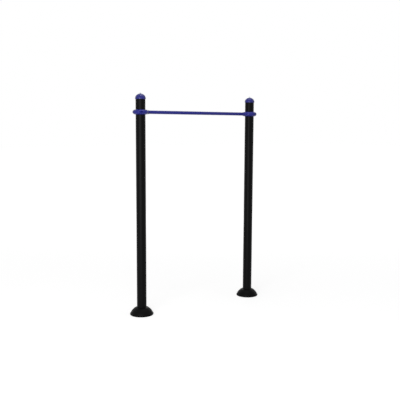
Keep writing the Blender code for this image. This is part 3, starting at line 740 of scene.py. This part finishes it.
def cover_outer_side(radius, height):
    """The cover's outer side from its neck down to the ground, and the points of its main slope."""
    neck = Vector((cover_neck_radius, height))
    land = Vector((cover_neck_radius + COVER_NECK_LAND, height))
    flank_top = Vector((cover_neck_radius + COVER_SHOULDER_WIDTH, height - COVER_SHOULDER_DROP))
    flank_foot = Vector((radius - COVER_LIP_STEP, COVER_LIP_HEIGHT + COVER_LIP_ROUND))
    shoulder = bowed(land, flank_top, COVER_SHOULDER_BULGE, ARC_POINTS)
    flank = bowed(flank_top, flank_foot, COVER_FLANK_BULGE, ARC_POINTS)
    cove = rounded((flank_foot.x + COVER_LIP_ROUND, flank_foot.y), COVER_LIP_ROUND, math.pi, 1.5 * math.pi)
    lip = rounded((radius - COVER_LIP_ROUND, COVER_LIP_HEIGHT - COVER_LIP_ROUND), COVER_LIP_ROUND,
                  math.pi / 2, 0)
    foot = arc((radius - COVER_FOOT_ROUND, COVER_FOOT_ROUND), COVER_FOOT_ROUND, COVER_FOOT_ROUND, 0,
               -math.pi / 2, ARC_POINTS)
    foot.append(Vector((foot[-1].x - COVER_FOOT_LAND, 0)))
    return [neck] + shoulder + flank[1:] + cove[1:] + lip + foot, flank


def wall_section(outer, thickness):
    """A closed section of even thickness inside an outer side, without the loops of its tight corners."""
    inner = [point for point in inward(outer, thickness)
             if min((point - corner).length for corner in outer) > thickness - WALL_TOLERANCE]
    return outer + inner[::-1]


def cover_drills():
    """Drills for the cover's two screws, each with room for the screw's head."""
    head = cover_screw_head_radius + COVER_SCREW_HOLE_CLEARANCE
    shank = cover_screw_shank_radius + FIT_GAP
    drill = [
        (0, COVER_SCREW_HEAD_HEIGHT + OVERRUN),
        (head, COVER_SCREW_HEAD_HEIGHT + OVERRUN),
        (head, 0),
        (shank, 0),
        (shank, -COVER_DRILL_DEPTH),
        (0, -COVER_DRILL_DEPTH),
    ]
    to_post = Matrix.Translation((-post_centre.x, 0, 0))
    sunk = Matrix.Translation((0, 0, -FIT_GAP))
    places = [to_post @ screw_place(f"left_cover_{end}_screw") @ sunk for end in ("left", "right")]
    return [("DIFFERENCE", turned(drill, SMALL_STEPS), place) for place in places]


def cover_meshes():
    """The two half shells, the front one with its lap tongues, both drilled for the screws."""
    _, cover_high, _, cover_size = extent("left_cover_front")
    outer, flank = cover_outer_side(cover_size.x / 2, cover_high.z)
    section = wall_section(outer, COVER_WALL)
    lap = stretch(flank, TONGUE_FLANK_SHARES)
    tongue = wall_section(inward(lap, COVER_WALL + TONGUE_CLEARANCE), TONGUE_THICKNESS)
    bridge_thickness = COVER_WALL / 2 + TONGUE_CLEARANCE + TONGUE_THICKNESS / 2
    bridge = wall_section(inward(lap, COVER_WALL / 2), bridge_thickness)
    # Widths across the seams, as angles about the post
    lap_radius = lap[len(lap) // 2].x
    seam = COVER_SEAM_GAP / 2 / cover_neck_radius
    reach = TONGUE_REACH / lap_radius
    root = TONGUE_ROOT / lap_radius

    def join(profile, start, sweep):
        """A part turn of a profile, joined to the front half."""
        return "UNION", turned(profile, TONGUE_STEPS, loop=True, start=start, sweep=sweep), Matrix()

    # Each tongue runs on under the rear half's wall, and a bridge ties it to the front half's
    tongues = [
        join(tongue, -root, root + reach),
        join(bridge, -root, root - seam),
        join(tongue, math.pi - reach, reach + root),
        join(bridge, math.pi + seam, root - seam),
    ]
    front = turned(section, COVER_STEPS, loop=True, start=math.pi + seam, sweep=math.pi - 2 * seam)
    rear = turned(section, COVER_STEPS, loop=True, start=seam, sweep=math.pi - 2 * seam)
    return (carved("cover_front_half", front, tongues + cover_drills(), cover_black),
            carved("cover_rear_half", rear, cover_drills(), cover_black))


# Base flange and weld, made about the post's axis


def flange_mesh():
    """The round base flange with its drain and anchor holes."""
    radius = flange_size.x / 2
    thickness = flange_high.z
    section = [
        (radius - FLANGE_EDGE, thickness),
        (radius, thickness - FLANGE_EDGE),
        (radius, 0),
        (FLANGE_DRAIN_RADIUS, 0),
        (FLANGE_DRAIN_RADIUS, thickness),
    ]
    drill = [
        (0, thickness + OVERRUN),
        (ANCHOR_HOLE_RADIUS, thickness + OVERRUN),
        (ANCHOR_HOLE_RADIUS, -OVERRUN),
        (0, -OVERRUN),
    ]
    anchor_circle = radius - ANCHOR_RIM_DISTANCE
    tools = []
    for i in range(ANCHOR_HOLES):
        turn = math.tau * (i + 0.5) / ANCHOR_HOLES
        place = Matrix.Translation((anchor_circle * math.cos(turn), anchor_circle * math.sin(turn), 0))
        tools.append(("DIFFERENCE", turned(drill, SMALL_STEPS), place))
    return carved("base_flange", turned(section, POST_STEPS, loop=True), tools, galvanised)


def weld_mesh():
    """The bead of weld round the post's foot: a rippled round cord, as the pools set one behind the other."""
    count = WELD_POOL_RINGS * round(math.tau * post_radius / WELD_POOL)
    distance = post_radius + WELD_STAND_OFF
    path = [Vector((distance * math.cos(math.tau * i / count), distance * math.sin(math.tau * i / count),
                    flange_high.z + WELD_STAND_OFF)) for i in range(count)]
    sections = []
    for i, point in enumerate(path):
        along = (path[(i + 1) % count] - path[i - 1]).normalized()
        side = along.cross(Vector((0, 0, 1))).normalized()
        up = side.cross(along)
        radius = WELD_RADIUS * (1 - WELD_POOL_SHARE * (i % WELD_POOL_RINGS) / (WELD_POOL_RINGS - 1))
        turns = [math.tau * k / WELD_SIDES for k in range(WELD_SIDES)]
        sections.append([point + radius * (math.cos(t) * side + math.sin(t) * up) for t in turns])
    return mesh_of("post_weld", skinned(sections, closed=True), galvanised)


# The whole station


def build():
    """Makes each mesh once, and puts all but the bar's on both sides. The collars face each other there."""
    post = tube("post_tube", post_radius, POST_WALL, post_low.z, post_high.z, post_black)
    cap = cap_mesh()
    washer = washer_mesh()
    acorn_nut = acorn_nut_mesh()
    collar_outer, collar_inner = collar_meshes()
    clamp_screw = socket_screw_mesh("clamp_screw", clamp_head_radius, CLAMP_HEAD_HEIGHT, CLAMP_SHANK / 2,
                                    clamp_high.x - clamp_low.x - CLAMP_HEAD_HEIGHT, CLAMP_KEY)
    cover_front, cover_rear = cover_meshes()
    foot_screw = socket_screw_mesh("cover_screw", cover_screw_head_radius, COVER_SCREW_HEAD_HEIGHT,
                                   cover_screw_shank_radius, cover_screw_length, COVER_SCREW_KEY)
    flange = flange_mesh()
    weld = weld_mesh()
    bar = tube("pull_up_bar", bar_radius, BAR_WALL, bar_low.x, bar_high.x, bar_blue)
    fit("bar", bar, Matrix.Translation((0, 0, bar_centre.z)) @ ALONG_X, "pull_up_bar")

    head_up = Matrix.Rotation(-math.pi / 2, 4, "Y")
    for side, turn, front_y in (("left", 0.0, -clamp_y), ("right", math.pi, clamp_y)):
        _, _, centre, _ = extent(side + "_post_tube")
        foot = Matrix.Translation((centre.x, 0, 0))
        collar = Matrix.Translation((centre.x, 0, bar_centre.z)) @ Matrix.Rotation(turn, 4, "Z")
        fit(side + "_post", post, foot, side + "_post_tube")
        fit(side + "_cap", cap, foot, side + "_post_cap")
        fit(side + "_washer", washer, foot @ Matrix.Translation((0, 0, washer_low.z)), side + "_cap_washer")
        fit(side + "_acorn_nut", acorn_nut, foot @ Matrix.Translation((0, 0, nut_low.z)), side + "_cap_nut")
        fit(side + "_collar_outer", collar_outer, collar, side + "_collar_outer_half")
        fit(side + "_collar_inner", collar_inner, collar, side + "_collar_inner_half")
        for end, y in (("front", front_y), ("rear", -front_y)):
            seat = Matrix.Translation((-clamp_seat_depth - FIT_GAP, y, 0))
            fit(f"{side}_{end}_clamp_screw", clamp_screw, collar @ seat @ head_up,
                f"{side}_collar_{end}_clamp_screw")
        fit(side + "_front_half_cover", cover_front, foot, side + "_cover_front")
        fit(side + "_rear_half_cover", cover_rear, foot, side + "_cover_rear")
        for end in ("left", "right"):
            node = f"{side}_cover_{end}_screw"
            fit(f"{side}_foot_{end}_screw", foot_screw, screw_place(node), node)
        fit(side + "_flange", flange, foot, side + "_base_flange")
        fit(side + "_post_weld", weld, foot, None)


def finish_kept_nodes():
    """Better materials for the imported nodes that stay, which are hidden inside the others."""
    for name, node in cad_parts.items():
        for word, finish in KEPT_NODES.items():
            if word in name:
                node.data.materials.clear()
                node.data.materials.append(finish)


# Studio and camera


def seen_directly(tree):
    """1 for rays from the camera or off a shiny or clear surface, which see the white background."""
    ray = add(tree, "LightPath")
    mirror = add(tree, "Math", {"operation": "MAXIMUM"},
                 {0: ray.outputs["Is Glossy Ray"], 1: ray.outputs["Is Transmission Ray"]})
    return add(tree, "Math", {"operation": "MAXIMUM"},
               {0: ray.outputs["Is Camera Ray"], 1: mirror.outputs["Value"]}).outputs["Value"]


def white_studio_floor():
    """Matt white paper, lifted to pure white where it is seen, with a faint shadow left under the posts."""
    made, tree = new_material("white_studio_floor")
    tree.nodes.remove(tree.nodes["Principled BSDF"])
    paper = add(tree, "BsdfDiffuse", {"Color": linear("BABABA")})
    away = add(tree, "VectorMath", {"operation": "LENGTH"}, {0: add(tree, "NewGeometry").outputs["Position"]})
    need = add(tree, "MapRange",
               {"From Min": LIT_REACH, "From Max": DIM_REACH, "To Min": LIT_LIFT, "To Max": DIM_LIFT},
               {"Value": away.outputs["Value"]})
    share = add(tree, "Math", {"operation": "MULTIPLY"}, {0: seen_directly(tree), 1: need.outputs["Result"]})
    lift = add(tree, "Emission", links={"Strength": share.outputs["Value"]})
    both = add(tree, "AddShader", links={0: paper.outputs["BSDF"], 1: lift.outputs["Emission"]})
    tree.links.new(both.outputs["Shader"], tree.nodes["Material Output"].inputs["Surface"])
    return made


def white_studio_world():
    """An even white surround: full white where it is seen, and a weaker fill where it lights the object."""
    world = bpy.data.worlds.new("white_studio")
    bpy.context.scene.world = world
    world.use_nodes = True
    tree = world.node_tree
    strength = add(tree, "Math", {"operation": "MULTIPLY_ADD", 1: 1 - AMBIENT, 2: AMBIENT},
                   {0: seen_directly(tree)})
    surround = tree.nodes["Background"]
    surround.inputs["Color"].default_value = (1, 1, 1, 1)
    tree.links.new(strength.outputs["Value"], surround.inputs["Strength"])


def floor_plane():
    """The floor under the station, far wider than the camera sees."""
    shape = bmesh.new()
    bmesh.ops.create_grid(shape, x_segments=1, y_segments=1, size=FLOOR_HALF_SIZE)
    linked("studio_floor", mesh_of("studio_floor", shape, white_studio_floor()), Matrix())


def soft_light(name, place, target, width, height, radiance):
    """A softbox of even radiance that faces a target and isn't seen by the camera."""
    data = bpy.data.lights.new(name, "AREA")
    data.shape = "RECTANGLE"
    data.size = width
    data.size_y = height
    data.energy = radiance * math.pi * width * height
    facing = (Vector(target) - Vector(place)).to_track_quat("-Z", "Y").to_matrix().to_4x4()
    linked(name, data, Matrix.Translation(place) @ facing).visible_camera = False


def photo_camera():
    """The camera where the photograph was taken from."""
    data = bpy.data.cameras.new("photo_camera")
    data.lens = CAMERA_LENS
    data.sensor_width = CAMERA_SENSOR
    aim = Matrix.Rotation(-CAMERA_YAW, 4, "Z") @ Matrix.Rotation(math.pi / 2 - CAMERA_PITCH, 4, "X")
    place = Matrix.Translation(CAMERA_PLACE) @ aim @ Matrix.Rotation(CAMERA_ROLL, 4, "Z")
    bpy.context.scene.camera = linked("photo_camera", data, place)


build()
finish_kept_nodes()
white_studio_world()
floor_plane()
for softbox in SOFTBOXES:
    soft_light(*softbox)
photo_camera()
bpy.context.scene.view_settings.view_transform = "Standard"
